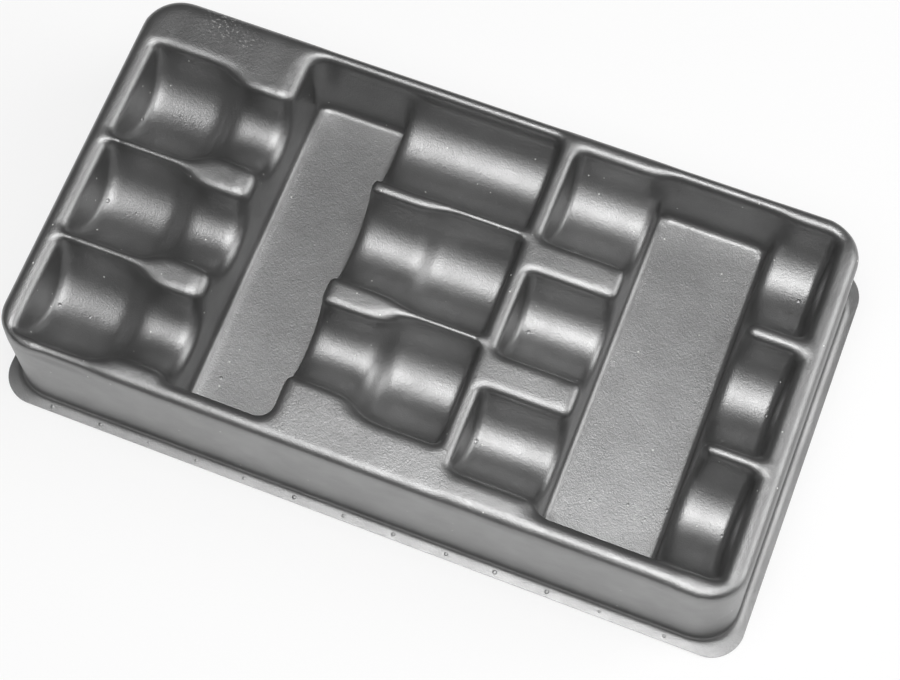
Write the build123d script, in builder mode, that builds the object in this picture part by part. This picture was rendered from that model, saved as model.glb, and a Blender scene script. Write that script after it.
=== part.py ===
"""Thermoformed tool tray: one thin plastic sheet drawn into nine socket beds and two finger troughs.

Millimetres, +Z up. X runs along the tray and Y from the front edge to the back edge.
The origin is the centre of the tray's underside, in the plane that the flange rests on.
"""
import os
from math import acos, degrees, radians, sin, tan
from typing import NamedTuple

from build123d import *

os.makedirs("parts", exist_ok=True)

# Sheet, deck and outside walls
sheet = 0.8
tray_height = 35.0
deck_length = 179.9
deck_width = 95.9
deck_corner_radius = 9.5
rim_radius = 2.0

# How far the walls spread from the deck's edge down to the foot, and how far the flange stands out
end_wall_spread = 1.15
side_wall_spread = 0.75
flange_ledge = 2.9
foot_corner_radius = 9.0
foot_radius = 0.8
flange_corner_radius = 8.0

# Rounding where the sheet bends
deck_edge_radius = 0.85
bed_end_radius = 1.2
trough_floor_radius = 1.0
shoulder_radius = 5.0

# Draft of the drawn walls, in degrees from upright
end_drafts = (6.0, 6.0)
cross_drafts = (6.0, 6.0)

foot_length = deck_length + 2 * end_wall_spread
foot_width = deck_width + 2 * side_wall_spread
flange_length = foot_length + 2 * flange_ledge
flange_width = foot_width + 2 * flange_ledge


class Bed(NamedTuple):
    """A bed for one socket: where its axis runs, and its radius at the end wall and at the trough."""

    axis_y: float
    end_radius: float
    mouth_radius: float


class Side(NamedTuple):
    """The beds on one side of a trough, with the places where they end and where they narrow."""

    end_x: float
    trough_x: float
    trough_draft: float
    front_corner_radius: float
    back_corner_radius: float
    shoulder_x: float
    beds: tuple


class Group(NamedTuple):
    """A finger trough with a row of beds that open into it from each side."""

    front: float
    back: float
    depth: float
    left: Side
    right: Side


def along(share):
    """A place along the tray, given as a share of the deck's length from its middle."""
    return share * deck_length


def across(share):
    """A place or a size across the tray, given as a share of the deck's width."""
    return share * deck_width


def row(*beds):
    """The beds of one row, each given by its axis and its two radii as shares of the deck's width."""
    return tuple(Bed(*[across(share) for share in bed]) for bed in beds)


short_sockets = Group(
    front=across(-0.4536),
    back=across(0.4682),
    depth=21.5,
    left=Side(
        end_x=along(-0.4703),
        trough_x=along(-0.2635),
        trough_draft=2.4,
        front_corner_radius=1.0,
        back_corner_radius=3.0,
        shoulder_x=along(-0.3502),
        beds=row((0.2242, 0.1345, 0.097), (-0.0584, 0.1283, 0.097), (-0.3358, 0.1283, 0.0959)),
    ),
    right=Side(
        end_x=along(0.0895),
        trough_x=along(-0.1223),
        trough_draft=2.4,
        front_corner_radius=3.5,
        back_corner_radius=1.0,
        shoulder_x=along(-0.025),
        beds=row((0.342, 0.1324, 0.1324), (0.0542, 0.1345, 0.1178), (-0.2346, 0.1345, 0.097)),
    ),
)

long_sockets = Group(
    front=across(-0.4442),
    back=across(0.4682),
    depth=18.5,
    left=Side(
        end_x=along(0.1117),
        trough_x=along(0.2296),
        trough_draft=2.4,
        front_corner_radius=1.0,
        back_corner_radius=1.0,
        shoulder_x=along(0.1668),
        beds=row((0.3264, 0.1251, 0.1251), (0.0021, 0.1095, 0.1095), (-0.3076, 0.1053, 0.1053)),
    ),
    right=Side(
        end_x=along(0.4691),
        trough_x=along(0.3958),
        trough_draft=6.0,
        front_corner_radius=1.0,
        back_corner_radius=1.0,
        shoulder_x=along(0.4336),
        beds=row((0.3206, 0.1397, 0.1397), (0.0031, 0.1376, 0.1376), (-0.3045, 0.1366, 0.1366)),
    ),
)

# Room that the cutting forms keep past the faces that they cut
overrun = 6.0
headroom = 1.0


def lean(draft, below_deck):
    """How far a drafted wall has moved inwards at a depth below the deck."""
    return tan(radians(draft)) * below_deck


def drawn_section(plane, low_line, high_line, drafts, bottom, top, skin):
    """The section of a drawn hollow whose two walls pass through the given lines at deck level."""
    corners = []
    for level in (bottom, top):
        low, high = [lean(draft, tray_height - level) - skin for draft in drafts]
        corners.append([(low_line + low, level), (high_line - high, level)])
    with BuildSketch(plane) as section:
        with BuildLine():
            Polyline(*corners[0], *reversed(corners[1]), close=True)
        make_face()
    return section.sketch


def bed_profile(bed, side, skin):
    """Half the long section of the form that is turned about the axis of the socket in the bed."""
    way = 1 if side.trough_x > side.end_x else -1
    start_x = side.end_x - way * overrun
    finish_x = side.trough_x + way * overrun
    turn = acos(1 - (bed.end_radius - bed.mouth_radius) / (2 * shoulder_radius))
    fall_x = side.shoulder_x - way * shoulder_radius * sin(turn)
    low = tray_height - bed.end_radius - skin
    with BuildSketch(Plane.XZ.offset(-bed.axis_y)) as profile:
        with BuildLine():
            wall = Polyline((start_x, tray_height), (start_x, low), (fall_x, low))
            if turn > 0:
                fall = JernArc(wall @ 1, (way, 0), shoulder_radius + skin, way * degrees(turn))
                wall = JernArc(fall @ 1, fall % 1, shoulder_radius - skin, -way * degrees(turn))
            Polyline(wall @ 1, (finish_x, (wall @ 1).Y), (finish_x, tray_height), (start_x, tray_height))
        make_face()
    return profile.sketch


def near(shapes, axis, place):
    """The shapes that lie close to one place along an axis."""
    return shapes.filter_by_position(axis, place - overrun, place + overrun)


def hollow(group, skin):
    """The space over one group, from the trough floor to just above the deck, grown by skin all round."""
    sides = (group.left, group.right)
    low = tray_height - group.depth - skin
    cap = tray_height + headroom
    above = tray_height + flange_width
    drafts = [side.trough_draft for side in sides]
    trough = drawn_section(Plane.XZ, group.left.trough_x, group.right.trough_x, drafts, low, above, skin)
    ends = drawn_section(Plane.XZ, group.left.end_x, group.right.end_x, end_drafts, low, cap, skin)
    across = drawn_section(Plane.YZ, group.front, group.back, cross_drafts, low - overrun, above, skin)

    with BuildPart() as past_cross_walls:
        with Locations((group.left.trough_x - overrun, 0, low)):
            Box(flange_width, 2 * flange_width, tray_height, align=(Align.MIN, Align.CENTER, Align.MIN))
        extrude(across, amount=flange_length, both=True, mode=Mode.SUBTRACT)

    with BuildPart() as room:
        extrude(trough, amount=flange_width, both=True)
        for side in sides:
            for bed in side.beds:
                axis = Axis((0, bed.axis_y, tray_height), (1, 0, 0))
                revolve(bed_profile(bed, side, skin), axis=axis)
        extrude(ends, amount=flange_width, both=True, mode=Mode.INTERSECT)
        add(past_cross_walls.part, mode=Mode.SUBTRACT)
        for side in sides:
            corners = ((group.front, side.front_corner_radius), (group.back, side.back_corner_radius))
            for line, radius in corners:
                lines = near(near(room.edges().filter_by(GeomType.LINE), Axis.X, side.trough_x), Axis.Y, line)
                fillet(lines.filter_by_position(Axis.Z, low, tray_height), radius + skin)
        fillet(room.edges().group_by(Axis.Z)[0], trough_floor_radius + skin)
    return room.part


def hollow_with_round_ends(group):
    """The space over one group as it is seen from above, where each bed's end wall curves into the bed."""
    with BuildPart() as room:
        add(hollow(group, 0))
        for side in (group.left, group.right):
            walls = near(room.faces().filter_by(GeomType.PLANE), Axis.X, side.end_x)
            fillet(walls.edges().filter_by_position(Axis.Z, 0, tray_height), bed_end_radius)
    return room.part


def rounded_outline(level, length, width, corner_radius):
    """A rectangle with rounded corners, centred on the tray and lying at one height."""
    with BuildSketch(Plane.XY.offset(level)) as outline:
        RectangleRounded(length, width, corner_radius)
    return outline.sketch


def tray_block(skin, hollows):
    """The drafted block of the tray with its rim rounded and its beds and troughs drawn in."""
    share = skin / tray_height
    inset = 2 * skin
    top_length = deck_length + share * (foot_length - deck_length) - inset
    top_width = deck_width + share * (foot_width - deck_width) - inset
    foot = rounded_outline(0, foot_length - inset, foot_width - inset, foot_corner_radius - skin)
    top = rounded_outline(tray_height - skin, top_length, top_width, deck_corner_radius - skin)
    with BuildPart() as block:
        loft([foot, top], ruled=True)
        fillet(block.edges().group_by(Axis.Z)[-1], rim_radius - skin)
        for space in hollows:
            add(space, mode=Mode.SUBTRACT)
    return block.part


def opening_edges(face):
    """The edges of the openings in a flat face."""
    return ShapeList([edge for wire in face.inner_wires() for edge in wire.edges()])


groups = (short_sockets, long_sockets)
outer_block = tray_block(0, [hollow_with_round_ends(group) for group in groups])
inner_block = tray_block(sheet, [hollow(group, sheet) for group in groups])

# The formed sheet, with its flange round the foot
with BuildPart() as socket_tray:
    add(outer_block)
    bent_edges = opening_edges(socket_tray.faces().sort_by(Axis.Z)[-1])
    for group in groups:
        for side in (group.left, group.right):
            mouths = near(socket_tray.edges().filter_by(GeomType.ELLIPSE), Axis.X, side.trough_x)
            bent_edges += mouths.filter_by_position(Axis.Z, tray_height - group.depth + overrun, tray_height)
    fillet(bent_edges, deck_edge_radius)
    with BuildSketch():
        RectangleRounded(flange_length, flange_width, flange_corner_radius)
    extrude(amount=sheet)
    flange_faces = socket_tray.faces().filter_by_position(Axis.Z, 0, sheet + foot_radius)
    fillet(opening_edges(flange_faces.sort_by(Axis.Z)[-1]), foot_radius)
    add(inner_block, mode=Mode.SUBTRACT)
    fillet(opening_edges(socket_tray.faces().sort_by(Axis.Z)[0]), foot_radius + sheet)

socket_tray.part.label = "socket_tray"
export_step(socket_tray.part, "parts/socket_tray.step")
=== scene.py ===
"""Looks of the thermoformed tool tray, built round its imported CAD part."""

from math import cos, pi, radians, sin, sqrt

import bmesh
import bpy
import numpy as np
import openvdb
from mathutils import Matrix, Vector
from mathutils.bvhtree import BVHTree


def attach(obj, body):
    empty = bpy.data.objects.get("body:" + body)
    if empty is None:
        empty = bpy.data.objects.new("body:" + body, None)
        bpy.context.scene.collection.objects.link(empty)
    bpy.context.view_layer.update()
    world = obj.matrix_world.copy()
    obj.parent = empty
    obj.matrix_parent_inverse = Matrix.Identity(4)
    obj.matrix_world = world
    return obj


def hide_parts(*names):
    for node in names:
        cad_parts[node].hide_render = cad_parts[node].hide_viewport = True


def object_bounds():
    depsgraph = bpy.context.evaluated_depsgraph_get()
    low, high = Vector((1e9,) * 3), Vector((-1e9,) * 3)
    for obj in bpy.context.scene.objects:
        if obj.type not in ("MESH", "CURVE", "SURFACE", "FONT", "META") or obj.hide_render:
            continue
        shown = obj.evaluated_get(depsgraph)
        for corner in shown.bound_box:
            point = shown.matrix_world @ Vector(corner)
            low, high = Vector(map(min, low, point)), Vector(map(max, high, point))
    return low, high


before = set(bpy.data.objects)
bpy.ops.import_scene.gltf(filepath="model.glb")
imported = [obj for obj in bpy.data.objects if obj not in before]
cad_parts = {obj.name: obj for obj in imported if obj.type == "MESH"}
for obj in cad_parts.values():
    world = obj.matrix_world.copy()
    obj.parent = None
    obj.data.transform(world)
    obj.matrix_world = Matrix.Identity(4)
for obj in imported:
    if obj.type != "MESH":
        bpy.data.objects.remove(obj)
cad_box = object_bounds()
cad_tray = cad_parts["socket_tray"]
low_corner, high_corner = cad_box

# One millimetre in metres. The sizes below are in millimetres.
MM = 0.001

# The sheet, its flange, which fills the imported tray's box, and the foot of its walls
SHEET = 0.8
FLANGE_LENGTH = round((high_corner[0] - low_corner[0]) / MM, 3)
FLANGE_WIDTH = round((high_corner[1] - low_corner[1]) / MM, 3)
FLANGE_CORNER = 8.0
FLANGE_LEDGE = 2.9
FOOT_LENGTH = FLANGE_LENGTH - 2 * FLANGE_LEDGE
FOOT_WIDTH = FLANGE_WIDTH - 2 * FLANGE_LEDGE
FOOT_CORNER = 9.0

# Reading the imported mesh: how near together two points count as one, how near to the floor a point counts
# as on it, and how near to the flange's edge it counts as part of that edge
ONE_POINT = 0.001
ON_FLOOR = 0.01
ON_EDGE = 0.05

# The grid in which the bends are softened: its spacing, then its lowest corner and its size in steps
STEP = 0.45
GRID_LOW = (-220, -127, -4)
GRID_STEPS = (440, 254, 86)
# How many steps from the surface the distances in it are kept
BAND_STEPS = 6
# Before that, how far the flange is drawn out and its bottom moved down, clear of the part that is kept
SPARE_FLANGE = 5.0
SPARE_DEPTH = 8.0

# Radii of the sheet's outward bends: the solid's own, then the softer ones that are worked out
OWN_RADIUS = 0.85
SOFT_RADII = (1.5, 2.1, 2.7)
USUAL_RADIUS = 1.7
# Where a bend is softer or sharper than usual: x from and to, y from and to, radius
BEND_ZONES = (
    (-95, 95, 42.5, 60, 1.5),
    (-95, 20, -60, -41.0, 2.1),
    (20, 95, -60, -40.0, 2.5),
    (-95, -82.5, -60, 60, 1.9),
    (82.5, 95, -60, 60, 1.9),
    (-95, -78, -60, -38, 1.7),
    (76, 95, -60, -37, 1.8),
    (76, 95, 38, 60, 1.5),
    (-50.0, -44.5, -42, 42, 2.6),
    (-24.5, -19.5, -38, 42, 1.75),
    (16.4, 19.8, -42, 42, 1.9),
    (39.5, 43.5, -42, 42, 1.75),
    (69.5, 73.0, -42, 42, 1.6),
    (-82.5, -64.5, 4.8, 10.4, 0.85),
    (-82.5, -64.5, -21.5, -16.2, 0.85),
    (-3.5, 15.5, 16.0, 22.0, 0.85),
    (-19.5, -3.5, 16.0, 20.5, 1.4),
    (-3.5, 15.5, -11.5, -6.0, 0.85),
    (73.0, 83.0, 12.5, 18.5, 1.5),
    (73.0, 83.0, -17.0, -12.0, 1.3),
)
# Over how many steps of the grid one zone turns into the next
ZONE_BLEND = 7
# The most that rounding an edge takes off, as a share of the growth in its radius
CORNER_LOSS = 0.45

# Where the sheet is drawn out, at the beds' shoulders and over rims and mouths: the axis that it spreads
# along, 0 for X and 1 for Y, x from and to, y from and to, how far it spreads low in a bed and how far at
# the deck
DRAWN_OUT = (
    (0, -94.0, -80.5, -60.0, 60.0, 1.3, 1.3),
    (0, -70.0, -56.0, -60.0, 60.0, 1.2, 2.8),
    (0, -50.5, -43.5, -60.0, 60.0, 1.3, 1.3),
    (0, -24.5, -19.0, -60.0, 60.0, 0.8, 0.8),
    (0, -12.0, 3.0, -60.0, 60.0, 1.2, 2.8),
    (0, 15.0, 21.5, -60.0, 60.0, 0.9, 0.9),
    (0, 38.5, 44.0, -60.0, 60.0, 0.8, 0.9),
    (0, 69.0, 74.0, -60.0, 60.0, 0.8, 0.8),
    (0, 82.5, 94.0, -60.0, 60.0, 1.2, 1.2),
    (1, -100.0, 100.0, 42.5, 51.0, 1.2, 1.2),
    (1, -54.0, -44.5, -38.0, 38.0, 0.8, 0.8),
    (1, 36.0, 43.0, -38.0, 38.0, 0.8, 0.8),
    (1, -82.0, -63.0, -38.0, 38.0, 0.6, 0.7),
    (1, -2.0, 15.0, -38.0, 38.0, 0.6, 0.8),
    (1, 72.0, 84.0, -38.0, 38.0, 0.7, 0.9),
    (0, 35.5, 43.5, -45.5, -38.5, 1.6, 1.8),
    (0, 35.5, 43.5, 41.5, 48.0, 1.6, 1.8),
    (0, 66.0, 76.0, 41.5, 48.0, 1.6, 1.8),
)
# The heights between which the low spread turns into the deck's
SPREAD_CHANGE = (26.0, 31.0)
# How many spreads away a neighbour still counts
BLUR_REACH = 3

# How much the surface is eased, and where it is trimmed: so far past the foot, and below this share of the
# sheet's thickness
EASE_FACTOR = 0.5
EASE_STEPS = 4
CUT_PAST_FOOT = 2.2
CUT_BELOW = 0.3
# How many faces one skin keeps, and the angle in degrees from which an edge looks sharp
FACE_BUDGET = 92000
CREASE = 50

# The front flange droops: how much higher its inner edge stands, how far up the wall that fades out, and
# how far along the two ends
FLANGE_RISE = 0.6
RISE_FADE = 6.0
DROOP_FADE = 14.0

# Cloudy patterns in the sheet's surface: the size of their lumps, their detail and their roughness. The
# blasted mould's grain is about 0.2 mm, which is too fine to show in the render, so it is drawn at 0.4 mm.
PATTERNS = {
    "grain": (0.4, 3.0, 0.6),
    "pebble": (1.6, 1.0, 0.5),
    "waves": (14.0, 1.0, 0.5),
    "tone": (9.0, 3.0, 0.5),
    "gloss": (5.0, 3.0, 0.5),
    "hairs": (0.7, 2.0, 0.6),
    "flecks": (0.7, 2.0, 0.6),
}
# How high the first three stand
HEIGHTS = {"grain": 0.065, "pebble": 0.03, "waves": 0.09}
# Between which two of their values the others change, and the two that they then give. Gloss gives the
# sheet's roughness.
CHANGES = {
    "tone": (0.3, 0.7, 0.0, 1.0),
    "gloss": (0.3, 0.7, 0.39, 0.43),
    "hairs": (0.6, 0.7, 0.0, 1.0),
    "flecks": (0.6, 0.68, 0.0, 1.0),
}
# Hairlines: how their pattern is turned, in radians, and how much it is squeezed along each axis
HAIR_TURN = 0.5
HAIR_SQUEEZE = (0.5, 1.5, 1.0)

# Rubbed places: middle, radius and strength, and the share of the radius that is rubbed in full
SCUFFS = (
    ((-71.0, 44.5, 35.0), 7.0, 0.6),
    ((-64.0, 42.5, 35.0), 4.5, 0.45),
    ((50.5, -28.5, 16.5), 4.0, 0.3),
    ((62.0, -29.0, 16.5), 4.0, 0.35),
    ((60.0, -40.0, 16.5), 4.0, 0.25),
)
SCUFF_CORE = 0.2

# Dust: the size of a speck, and of the cells that may hold one. Each cell has a number from 0 to 1, and its
# speck comes in between these two. This share of a speck is pale in full.
DUST = 0.26
DUST_CELL = 3.6
DUST_KEPT = (0.55, 0.57)
DUST_CORE = 0.5

# The sheet's two tones, and its colour where it is rubbed or dusty. Then polystyrene's IOR, the clean
# sheet's metallic value, and what the metallic value and the roughness change by where the sheet is pale.
TONES = ("#8f8f8f", "#969696")
PALE = "#e2e2e0"
POLYSTYRENE_IOR = 1.59
METALLIC = 0.94
PALE_METALLIC = -0.8
PALE_ROUGHNESS = 0.2

# Vent pips: their size, the shares of it that the smallest and the largest have, how deep their middle
# sits, the faces round and over one, and the seed for their sizes
PIP_WIDTH = 1.2
PIP_DEPTH = 0.38
PIP_SHARES = (0.8, 1.2)
PIP_SINK = 0.1
PIP_SEGMENTS = 10
PIP_RINGS = 6
PIP_SEED = 4
# Where they stand in plan, in the beds, on the trough floors and along the front flange
BED_PIPS = (
    (-83.0, 19.1), (-74.9, 23.4), (-82.0, -3.6), (-74.3, -4.2), (-81.4, -31.9), (-73.5, -32.1),
    (14.3, -22.1), (24.2, 0.3), (22.4, -28.9), (80.1, 31.0), (81.8, 1.3), (81.5, -29.1),
)
TROUGH_PIPS = ((-41.0, -32.5), (50.7, -30.3), (59.2, -28.3), (64.0, -30.2), (67.9, -26.2))
FLANGE_PIPS_X = (-79.7, -66.8, -54.0, -41.5, -29.0, -16.0, -3.3, 9.4, 22.8, 35.0, 48.0, 61.0, 76.9)
FLANGE_PIPS_Y = -50.4

# The floor: half its width in metres, its paper, and the share of its own white that is seen
FLOOR_REACH = 8.0
PAPER = "#fafafa"
FLOOR_GLOW = 0.7

# Lamps: elevation and azimuth from +X in degrees, power in watts, and width. All stand equally far away.
LAMPS = {
    "overhead": (88, 270, 2.3, 400),
    "front_high": (72, 255, 1.8, 600),
    "front_right_high": (72, 315, 1.6, 600),
    "front": (52, 270, 0.3, 600),
    "right": (36, 19, 3.7, 700),
}
LAMP_DISTANCE = 900
# The faint light from all round, and the white of it and of the floor's glow
ROOM_STRENGTH = 0.08
WHITE = "#ffffff"

# The camera, matched to the photograph: where it stands, its three directions, its lens and film, and the
# nearest and farthest that it sees, in metres
CAMERA_PLACE = Vector((77.571, -156.035, 465.228))
VIEW_RIGHT = Vector((0.931028, 0.364089, -0.025017))
VIEW_DOWN = Vector((0.333449, -0.876530, -0.347142))
VIEW_AHEAD = Vector((-0.148319, 0.314857, -0.937479))
LENS = 81.1725
FILM_WIDTH = 36.0
CAMERA_SEES = (0.01, 40.0)

# Sockets that have no names of their own: a colour mix's share, two colours and result, and a random
# number's least, most and result
MIX_SHARE, MIX_FIRST, MIX_SECOND, MIXED = 0, 6, 7, 2
RANDOM_LEAST, RANDOM_MOST, RANDOM = 2, 3, 1


def linear(hex_colour):
    """An sRGB hex colour as linear RGBA."""
    parts = [int(hex_colour[i:i + 2], 16) / 255 for i in (1, 3, 5)]
    return (*[c / 12.92 if c <= 0.04045 else ((c + 0.055) / 1.055) ** 2.4 for c in parts], 1.0)


def linked(name, data):
    """A new object at the origin that shows a mesh, a lamp or a camera."""
    made = bpy.data.objects.new(name, data)
    bpy.context.scene.collection.objects.link(made)
    return made


def apply_modifiers(obj):
    """Turns the object's mesh into what its modifiers make of it, and removes them."""
    graph = bpy.context.evaluated_depsgraph_get()
    mesh = bpy.data.meshes.new_from_object(obj.evaluated_get(graph))
    obj.modifiers.clear()
    old = obj.data
    obj.data = mesh
    bpy.data.meshes.remove(old)


def node(tree, kind, settings=(), inputs=()):
    """Adds a node, sets its properties, and gives each input its value or links it to an output."""
    made = tree.nodes.new(kind)
    for key, value in dict(settings).items():
        setattr(made, key, value)
    for key, value in dict(inputs).items():
        if isinstance(value, bpy.types.NodeSocket):
            tree.links.new(value, made.inputs[key])
        else:
            made.inputs[key].default_value = value
    return made


def rounded_rectangle(length, width, corner, steps=16):
    """The outline of a rectangle with rounded corners, anticlockwise, in millimetres."""
    points = []
    for quarter, (sx, sy) in enumerate(((1, 1), (-1, 1), (-1, -1), (1, -1))):
        for step in range(steps + 1):
            turn = (quarter + step / steps) * pi / 2
            x = sx * (length / 2 - corner) + corner * cos(turn)
            y = sy * (width / 2 - corner) + corner * sin(turn)
            points.append((x, y))
    return points


def outside_by(x, y, length, width, corner):
    """How far a point lies outside a rounded rectangle, in millimetres."""
    dx = abs(x) - (length / 2 - corner)
    dy = abs(y) - (width / 2 - corner)
    return sqrt(max(dx, 0) ** 2 + max(dy, 0) ** 2) + min(max(dx, dy), 0) - corner


def past_foot(x, y):
    """How far a point lies outside the foot of the walls, in millimetres."""
    return outside_by(x, y, FOOT_LENGTH, FOOT_WIDTH, FOOT_CORNER)


def past_flange(x, y):
    """How far a point lies outside the flange's edge, in millimetres."""
    return outside_by(x, y, FLANGE_LENGTH, FLANGE_WIDTH, FLANGE_CORNER)


def upper_face():
    """The upper skin of the CAD tray as points in millimetres and triangles.

    Its flange is drawn out and its bottom closed, so that it bounds a solid.
    """
    bm = bmesh.new()
    bm.from_mesh(cad_tray.data)
    bmesh.ops.remove_doubles(bm, verts=bm.verts, dist=ONE_POINT * MM)
    underside = [f for f in bm.faces if all(v.co.z < ON_FLOOR * MM for v in f.verts)]
    bmesh.ops.delete(bm, geom=underside, context="FACES_KEEP_BOUNDARY")
    # What hangs together with the highest point is the upper skin
    top = max(bm.verts, key=lambda v: v.co.z)
    skin = {top}
    edge_of_search = [top]
    while edge_of_search:
        vert = edge_of_search.pop()
        for edge in vert.link_edges:
            other = edge.other_vert(vert)
            if other not in skin:
                skin.add(other)
                edge_of_search.append(other)
    bmesh.ops.delete(bm, geom=[v for v in bm.verts if v not in skin], context="VERTS")
    for v in bm.verts:
        if past_flange(v.co.x / MM, v.co.y / MM) > -ON_EDGE:
            v.co.x *= 1 + 2 * SPARE_FLANGE / FLANGE_LENGTH
            v.co.y *= 1 + 2 * SPARE_FLANGE / FLANGE_WIDTH
            if v.co.z < ON_FLOOR * MM:
                v.co.z = -SPARE_DEPTH * MM
    bmesh.ops.triangle_fill(bm, edges=[e for e in bm.edges if e.is_boundary], use_beauty=True)
    bmesh.ops.triangulate(bm, faces=bm.faces)
    bmesh.ops.recalc_face_normals(bm, faces=bm.faces)
    bm.verts.index_update()
    points = np.array([v.co[:] for v in bm.verts], np.float32) / MM
    triangles = np.array([[v.index for v in f.verts] for f in bm.faces], np.uint32)
    bm.free()
    return points, triangles


def distances(field):
    """The part of a distance field that holds the tray, as an array."""
    made = np.empty(GRID_STEPS, np.float32)
    field.copyToArray(made, ijk=GRID_LOW)
    return made


def grid_places():
    """Where the points of the grid lie along each axis, in millimetres."""
    return [(np.arange(steps) + low) * STEP for steps, low in zip(GRID_STEPS, GRID_LOW)]


def radius_map():
    """The bend radius over each point of the tray's plan."""
    radii = np.full(GRID_STEPS[:2], USUAL_RADIUS, np.float32)
    xs, ys, _ = grid_places()
    for x0, x1, y0, y1, radius in BEND_ZONES:
        radii[np.ix_((xs >= x0) & (xs <= x1), (ys >= y0) & (ys <= y1))] = radius
    window = np.ones(ZONE_BLEND) / ZONE_BLEND
    for axis in (0, 1):
        margins = [(0, 0), (0, 0)]
        margins[axis] = (ZONE_BLEND // 2, ZONE_BLEND // 2)
        radii = np.apply_along_axis(np.convolve, axis, np.pad(radii, margins, "edge"), window, "valid")
    return radii


def blurred(field, low, high, spread):
    """Slices of the field, each mixed with its neighbours over a spread in millimetres."""
    reach = int(BLUR_REACH * spread / STEP)
    window = np.exp(-0.5 * (np.arange(-reach, reach + 1) * STEP / spread) ** 2)
    window /= window.sum()
    return sum(w * field[low + i - reach:high + i - reach] for i, w in enumerate(window))


def draw_out(field):
    """Blurs the field along one axis in places.

    That rounds what runs across the axis and leaves what runs along it as it is.
    """
    places = grid_places()
    near_deck = np.interp(places[2], SPREAD_CHANGE, (0, 1))
    for axis, *ends, low_spread, deck_spread in DRAWN_OUT:
        fades = []
        for at, start, finish in zip(places, ends[::2], ends[1::2]):
            share = np.clip(np.minimum(at - start, finish - at) / deck_spread + 1, 0, 1)
            fades.append(share * share * (3 - 2 * share))
        turned = np.swapaxes(field, 0, axis)
        inside = np.nonzero(fades[axis] > 0)[0]
        low, high = inside[0], inside[-1] + 1
        soft = (1 - near_deck) * blurred(turned, low, high, low_spread)
        soft += near_deck * blurred(turned, low, high, deck_spread)
        fade = np.outer(fades[axis][low:high], fades[1 - axis])[..., None]
        turned[low:high] += fade * (soft - turned[low:high])


def soft_surface():
    """The upper skin with its outward bends rounded further: a ball of each radius is rolled inside them."""
    level_set = openvdb.FloatGrid.createLevelSetFromPolygons
    spacing = openvdb.createLinearTransform(voxelSize=STEP)
    points, triangles = upper_face()
    reach = (max(SOFT_RADII) + STEP) / STEP
    solid = level_set(points, triangles=triangles, transform=spacing, halfWidth=reach)
    radii = radius_map()
    levels = (OWN_RADIUS, *SOFT_RADII)
    shares = [np.interp(radii, levels, only_one)[..., None] for only_one in np.eye(len(levels))]
    band = BAND_STEPS * STEP
    own = distances(solid)
    blended = shares[0] * own.clip(-band, band)
    for radius, share in zip(SOFT_RADII, shares[1:]):
        centres, core_triangles, core_quads = solid.convertToPolygons(-radius, 0.0)
        reach = (radius + band + STEP) / STEP
        grown = level_set(
            centres, triangles=core_triangles, quads=core_quads, transform=spacing, halfWidth=reach)
        rounded = np.minimum(distances(grown) - radius, own + CORNER_LOSS * (radius - OWN_RADIUS))
        blended += share * rounded.clip(-band, band)
    draw_out(blended)
    field = openvdb.FloatGrid(band)
    field.copyFromArray(blended, ijk=GRID_LOW)
    field.transform = spacing
    corners, quads = field.convertToQuads(0.0)
    mesh = bpy.data.meshes.new("formed_tray")
    mesh.from_pydata(corners.astype(float) * MM, [], quads.tolist())
    return mesh


def trim_to_foot(mesh):
    """Keeps the formed part of the surface, out to just past the foot."""
    bm = bmesh.new()
    bm.from_mesh(mesh)
    lowest = CUT_BELOW * SHEET * MM
    gone = [v for v in bm.verts
            if past_foot(v.co.x / MM, v.co.y / MM) > CUT_PAST_FOOT or v.co.z < lowest]
    bmesh.ops.delete(bm, geom=gone, context="VERTS")
    bmesh.ops.triangulate(bm, faces=bm.faces)
    bm.to_mesh(mesh)
    bm.free()


def droop_flange(mesh):
    """Raises the front flange towards the foot, so that its outer edge droops to the floor."""
    for v in mesh.vertices:
        x, y, z = v.co / MM
        if 0 < z < RISE_FADE:
            share = 1 - max(past_foot(x, y), 0) / FLANGE_LEDGE
            front = np.interp(y, (-FOOT_WIDTH / 2, -FOOT_WIDTH / 2 + DROOP_FADE), (1, 0))
            v.co.z += FLANGE_RISE * MM * share * front * (1 - max(z - SHEET, 0) / RISE_FADE)


def add_flange(mesh):
    """Fills the flat flange between the trimmed rim and the flange's cut outline."""
    bm = bmesh.new()
    bm.from_mesh(mesh)
    rim = [e for e in bm.edges if e.is_boundary]
    outline = [bm.verts.new((x * MM, y * MM, SHEET * MM))
               for x, y in rounded_rectangle(FLANGE_LENGTH, FLANGE_WIDTH, FLANGE_CORNER)]
    border = [bm.edges.new(ends) for ends in zip(outline, outline[1:] + outline[:1])]
    bmesh.ops.triangle_fill(bm, edges=rim + border, use_beauty=True, normal=(0, 0, 1))
    bmesh.ops.recalc_face_normals(bm, faces=bm.faces)
    top = max(bm.faces, key=lambda f: f.calc_center_median().z)
    if top.normal.z < 0:
        bmesh.ops.reverse_faces(bm, faces=bm.faces)
    bm.to_mesh(mesh)
    bm.free()


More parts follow.
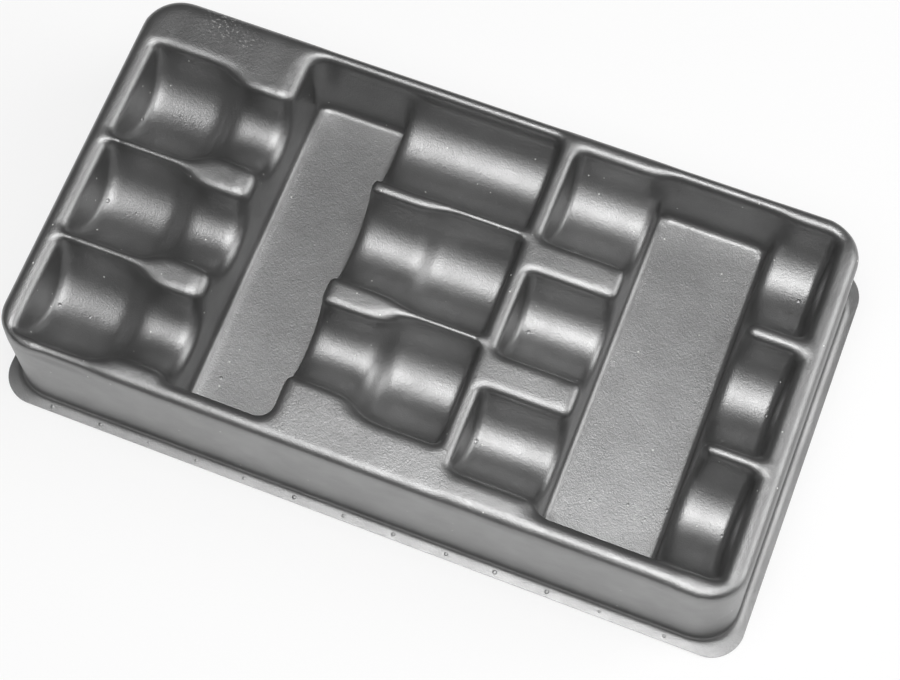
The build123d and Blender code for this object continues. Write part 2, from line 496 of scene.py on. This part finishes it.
def formed_tray(sheet_material):
    """The formed sheet with its softened bends, its flange and its thickness."""
    tray = linked("formed_tray", soft_surface())
    ease = tray.modifiers.new("ease_bends", "SMOOTH")
    ease.factor = EASE_FACTOR
    ease.iterations = EASE_STEPS
    apply_modifiers(tray)
    trim_to_foot(tray.data)
    droop_flange(tray.data)
    thin = tray.modifiers.new("fewer_faces", "DECIMATE")
    thin.ratio = min(1.0, FACE_BUDGET / len(tray.data.polygons))
    apply_modifiers(tray)
    add_flange(tray.data)
    wall = tray.modifiers.new("sheet_thickness", "SOLIDIFY")
    wall.thickness = SHEET * MM
    wall.offset = -1.0
    wall.use_even_offset = True
    apply_modifiers(tray)
    # Giving the sheet its thickness throws a few points past the floor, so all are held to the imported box
    for vert in tray.data.vertices:
        vert.co.z = min(max(vert.co.z, low_corner[2]), high_corner[2])
    tray.data.shade_smooth()
    tray.data.set_sharp_from_angle(angle=radians(CREASE))
    tray.data.materials.clear()
    tray.data.materials.append(sheet_material)
    return tray


def formed_sheet():
    """Polystyrene sheet, dark and vacuum formed over a sand-blasted mould.

    To the eye that gives a strong satin gloss, a fine grain, slow waves where the sheet cooled unevenly, and
    pale rubbed places with a little dust. Plastic itself reflects about 5% of the light, and the photograph
    shows far more than that on a dark sheet, so the clean sheet has a high metallic value. Where it is
    rubbed it is duller and paler.
    """
    material = bpy.data.materials.new("formed_polystyrene_sheet")
    material.use_nodes = True
    tree = material.node_tree
    tree.nodes.clear()
    place = node(tree, "ShaderNodeTexCoord").outputs["Object"]
    # From here on, places on the sheet are in millimetres
    mm = node(tree, "ShaderNodeVectorMath", {"operation": "SCALE"}, {0: place, "Scale": 1 / MM}).outputs[0]
    drawn_hairs = node(tree, "ShaderNodeMapping", {}, {
        "Vector": mm, "Rotation": (0, 0, HAIR_TURN), "Scale": HAIR_SQUEEZE}).outputs[0]

    clouds = {}
    for name, (size, detail, roughness) in PATTERNS.items():
        where = drawn_hairs if name == "hairs" else mm
        clouds[name] = node(tree, "ShaderNodeTexNoise", {}, {
            "Vector": where, "Scale": 1 / size, "Detail": detail, "Roughness": roughness}).outputs["Fac"]
    changed = {}
    for name, (start, finish, first, last) in CHANGES.items():
        changed[name] = node(tree, "ShaderNodeMapRange", {"interpolation_type": "SMOOTHSTEP"}, {
            "Value": clouds[name], "From Min": start, "From Max": finish,
            "To Min": first, "To Max": last}).outputs["Result"]

    # Rubbed places: hairlines that run one way, and flecks, inside a few worn spots
    worn = 0.0
    for middle, radius, strength in SCUFFS:
        away = node(tree, "ShaderNodeVectorMath", {"operation": "DISTANCE"}, {
            0: mm, 1: middle}).outputs["Value"]
        spot = node(tree, "ShaderNodeMapRange", {"interpolation_type": "SMOOTHSTEP"}, {
            "Value": away, "From Min": SCUFF_CORE * radius, "From Max": radius,
            "To Min": strength, "To Max": 0.0}).outputs["Result"]
        worn = node(tree, "ShaderNodeMath", {"operation": "MAXIMUM"}, {0: spot, 1: worn}).outputs[0]
    marks = node(tree, "ShaderNodeMath", {"operation": "MAXIMUM"}, {
        0: changed["hairs"], 1: changed["flecks"]}).outputs[0]
    scuffed = node(tree, "ShaderNodeMath", {"operation": "MULTIPLY"}, {0: worn, 1: marks}).outputs[0]

    # Dust: a speck in the middle of some of the cells
    cells = node(tree, "ShaderNodeTexVoronoi", {}, {"Vector": mm, "Scale": 1 / DUST_CELL}).outputs
    drawn_lot = node(tree, "ShaderNodeSeparateColor", {}, {0: cells["Color"]}).outputs[0]
    kept = node(tree, "ShaderNodeMapRange", {"interpolation_type": "SMOOTHSTEP"}, {
        "Value": drawn_lot, "From Min": DUST_KEPT[0], "From Max": DUST_KEPT[1]}).outputs["Result"]
    speck = node(tree, "ShaderNodeMapRange", {"interpolation_type": "SMOOTHSTEP"}, {
        "Value": cells["Distance"], "From Min": DUST_CORE * DUST / DUST_CELL, "From Max": DUST / DUST_CELL,
        "To Min": 1.0, "To Max": 0.0}).outputs["Result"]
    dust = node(tree, "ShaderNodeMath", {"operation": "MULTIPLY"}, {0: kept, 1: speck}).outputs[0]
    pale = node(tree, "ShaderNodeMath", {"operation": "MAXIMUM"}, {0: scuffed, 1: dust}).outputs[0]

    tone = node(tree, "ShaderNodeMix", {"data_type": "RGBA"}, {
        MIX_SHARE: changed["tone"], MIX_FIRST: linear(TONES[0]), MIX_SECOND: linear(TONES[1])}).outputs[MIXED]
    colour = node(tree, "ShaderNodeMix", {"data_type": "RGBA"}, {
        MIX_SHARE: pale, MIX_FIRST: tone, MIX_SECOND: linear(PALE)}).outputs[MIXED]
    roughness = node(tree, "ShaderNodeMath", {"operation": "MULTIPLY_ADD"}, {
        0: pale, 1: PALE_ROUGHNESS, 2: changed["gloss"]}).outputs[0]
    metallic = node(tree, "ShaderNodeMath", {"operation": "MULTIPLY_ADD"}, {
        0: pale, 1: PALE_METALLIC, 2: METALLIC}).outputs[0]

    height = 0.0
    for name, rise in HEIGHTS.items():
        height = node(tree, "ShaderNodeMath", {"operation": "MULTIPLY_ADD"}, {
            0: clouds[name], 1: rise, 2: height}).outputs[0]
    bump = node(tree, "ShaderNodeBump", {}, {
        "Height": height, "Strength": 1.0, "Distance": MM}).outputs["Normal"]
    shader = node(tree, "ShaderNodeBsdfPrincipled", {}, {
        "Base Color": colour, "Roughness": roughness, "Metallic": metallic, "Normal": bump,
        "IOR": POLYSTYRENE_IOR})
    node(tree, "ShaderNodeOutputMaterial", {}, {"Surface": shader.outputs["BSDF"]})
    return material


def pip_points(tray):
    """Points on the sheet where the pips stand, each with the way out of the sheet."""
    bm = bmesh.new()
    bm.from_mesh(tray.data)
    sheet = BVHTree.FromBMesh(bm)
    flange_pips = [(x, FLANGE_PIPS_Y) for x in FLANGE_PIPS_X]
    points, ways_out = [], []
    for x, y in (*BED_PIPS, *TROUGH_PIPS, *flange_pips):
        above = Vector((x, y, 2 * high_corner[2] / MM)) * MM
        point, way_out, _, _ = sheet.ray_cast(above, Vector((0, 0, -1)))
        points.append(point[:])
        ways_out.append(way_out[:])
    bm.free()
    mesh = bpy.data.meshes.new("vent_pips")
    mesh.from_pydata(points, [], [])
    directions = mesh.attributes.new("way_out", "FLOAT_VECTOR", "POINT").data
    directions.foreach_set("vector", np.ravel(ways_out))
    return mesh


def vent_pips(tray, sheet_material):
    """Little domes where the sheet was drawn a short way into the mould's vent holes."""
    pips = linked("vent_pips", pip_points(tray))
    tree = bpy.data.node_groups.new("vent_pips", "GeometryNodeTree")
    new_socket = tree.interface.new_socket
    new_socket("Geometry", in_out="INPUT", socket_type="NodeSocketGeometry")
    values = {}
    for name, kind, value in (
            ("Pip width", "NodeSocketFloat", PIP_WIDTH * MM),
            ("Pip depth", "NodeSocketFloat", PIP_DEPTH * MM),
            ("Lift", "NodeSocketFloat", -PIP_SINK * MM),
            ("Seed", "NodeSocketInt", PIP_SEED),
            ("Sheet", "NodeSocketMaterial", sheet_material)):
        values[new_socket(name, in_out="INPUT", socket_type=kind).identifier] = value
    new_socket("Geometry", in_out="OUTPUT", socket_type="NodeSocketGeometry")

    given = node(tree, "NodeGroupInput").outputs
    dome = node(tree, "GeometryNodeMeshUVSphere", {}, {
        "Segments": PIP_SEGMENTS, "Rings": PIP_RINGS, "Radius": 0.5}).outputs["Mesh"]
    way_out = node(tree, "GeometryNodeInputNamedAttribute", {"data_type": "FLOAT_VECTOR"}, {
        "Name": "way_out"}).outputs[0]
    turn = node(tree, "FunctionNodeAlignRotationToVector", {"axis": "Z"}, {"Vector": way_out}).outputs[0]
    share = node(tree, "FunctionNodeRandomValue", {"data_type": "FLOAT"}, {
        RANDOM_LEAST: PIP_SHARES[0], RANDOM_MOST: PIP_SHARES[1], "Seed": given["Seed"]}).outputs[RANDOM]
    size = node(tree, "ShaderNodeCombineXYZ", {}, {
        "X": given["Pip width"], "Y": given["Pip width"], "Z": given["Pip depth"]}).outputs[0]
    scale = node(tree, "ShaderNodeVectorMath", {"operation": "SCALE"}, {0: size, "Scale": share}).outputs[0]
    lift = node(tree, "ShaderNodeVectorMath", {"operation": "SCALE"}, {
        0: way_out, "Scale": given["Lift"]}).outputs[0]
    seats = node(tree, "GeometryNodeSetPosition", {}, {
        "Geometry": given["Geometry"], "Offset": lift}).outputs[0]
    put = node(tree, "GeometryNodeInstanceOnPoints", {}, {
        "Points": seats, "Instance": dome, "Rotation": turn, "Scale": scale}).outputs[0]
    real = node(tree, "GeometryNodeRealizeInstances", {}, {"Geometry": put}).outputs[0]
    dressed = node(tree, "GeometryNodeSetMaterial", {}, {
        "Geometry": real, "Material": given["Sheet"]}).outputs[0]
    node(tree, "NodeGroupOutput", {}, {"Geometry": dressed})

    maker = pips.modifiers.new("vent_pips", "NODES")
    maker.node_group = tree
    for identifier, value in values.items():
        maker[identifier] = value
    apply_modifiers(pips)
    pips.data.shade_smooth()
    return pips


def white_paper():
    """Uncoated white paper. To the eye it is even and without gloss.

    For the camera and in reflections a share of it is plain white, which keeps the background white. The rest
    takes the tray's shadow.
    """
    material = bpy.data.materials.new("white_paper")
    material.use_nodes = True
    tree = material.node_tree
    tree.nodes.clear()
    rays = node(tree, "ShaderNodeLightPath").outputs
    seen = node(tree, "ShaderNodeMath", {"operation": "MAXIMUM"}, {
        0: rays["Is Camera Ray"], 1: rays["Is Glossy Ray"]}).outputs[0]
    glow = node(tree, "ShaderNodeMath", {"operation": "MULTIPLY"}, {0: seen, 1: FLOOR_GLOW}).outputs[0]
    paper = node(tree, "ShaderNodeBsdfDiffuse", {}, {"Color": linear(PAPER)}).outputs[0]
    white = node(tree, "ShaderNodeEmission", {}, {"Color": linear(WHITE), "Strength": 1.0}).outputs[0]
    blend = node(tree, "ShaderNodeMixShader", {}, {0: glow, 1: paper, 2: white}).outputs[0]
    node(tree, "ShaderNodeOutputMaterial", {}, {"Surface": blend})
    return material


def paper_floor():
    """A plain white floor under the tray."""
    mesh = bpy.data.meshes.new("floor")
    bm = bmesh.new()
    bmesh.ops.create_grid(bm, x_segments=1, y_segments=1, size=FLOOR_REACH)
    bm.to_mesh(mesh)
    bm.free()
    mesh.materials.append(white_paper())
    return linked("floor", mesh)


def room_light():
    """A faint even light from all round."""
    world = bpy.data.worlds.new("studio")
    world.use_nodes = True
    background = world.node_tree.nodes["Background"].inputs
    background["Color"].default_value = linear(WHITE)
    background["Strength"].default_value = ROOM_STRENGTH
    bpy.context.scene.world = world


def soft_lamp(name, elevation, azimuth, power, width):
    """A round soft lamp that faces the tray."""
    up, around = radians(elevation), radians(azimuth)
    way = Vector((cos(up) * cos(around), cos(up) * sin(around), sin(up)))
    light = bpy.data.lights.new(name, "AREA")
    light.shape = "DISK"
    light.size = width * MM
    light.energy = power
    lamp = linked(name, light)
    lamp.location = way * LAMP_DISTANCE * MM
    lamp.rotation_mode = "QUATERNION"
    lamp.rotation_quaternion = way.to_track_quat("Z", "Y")
    return lamp


def photo_camera():
    """The camera, standing where the photograph was taken from."""
    data = bpy.data.cameras.new("camera")
    data.lens = LENS
    data.sensor_width = FILM_WIDTH
    data.clip_start, data.clip_end = CAMERA_SEES
    camera = linked("camera", data)
    turn = Matrix((VIEW_RIGHT, -VIEW_DOWN, -VIEW_AHEAD)).transposed().to_4x4()
    camera.matrix_world = Matrix.Translation(CAMERA_PLACE * MM) @ turn
    return camera


sheet_material = formed_sheet()
tray = formed_tray(sheet_material)
pips = vent_pips(tray, sheet_material)
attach(tray, "root")
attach(pips, "root")
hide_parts("socket_tray")

paper_floor()
room_light()
for lamp_name, lamp_facts in LAMPS.items():
    soft_lamp(lamp_name, *lamp_facts)
bpy.context.scene.camera = photo_camera()
bpy.context.scene.view_settings.view_transform = "Standard"
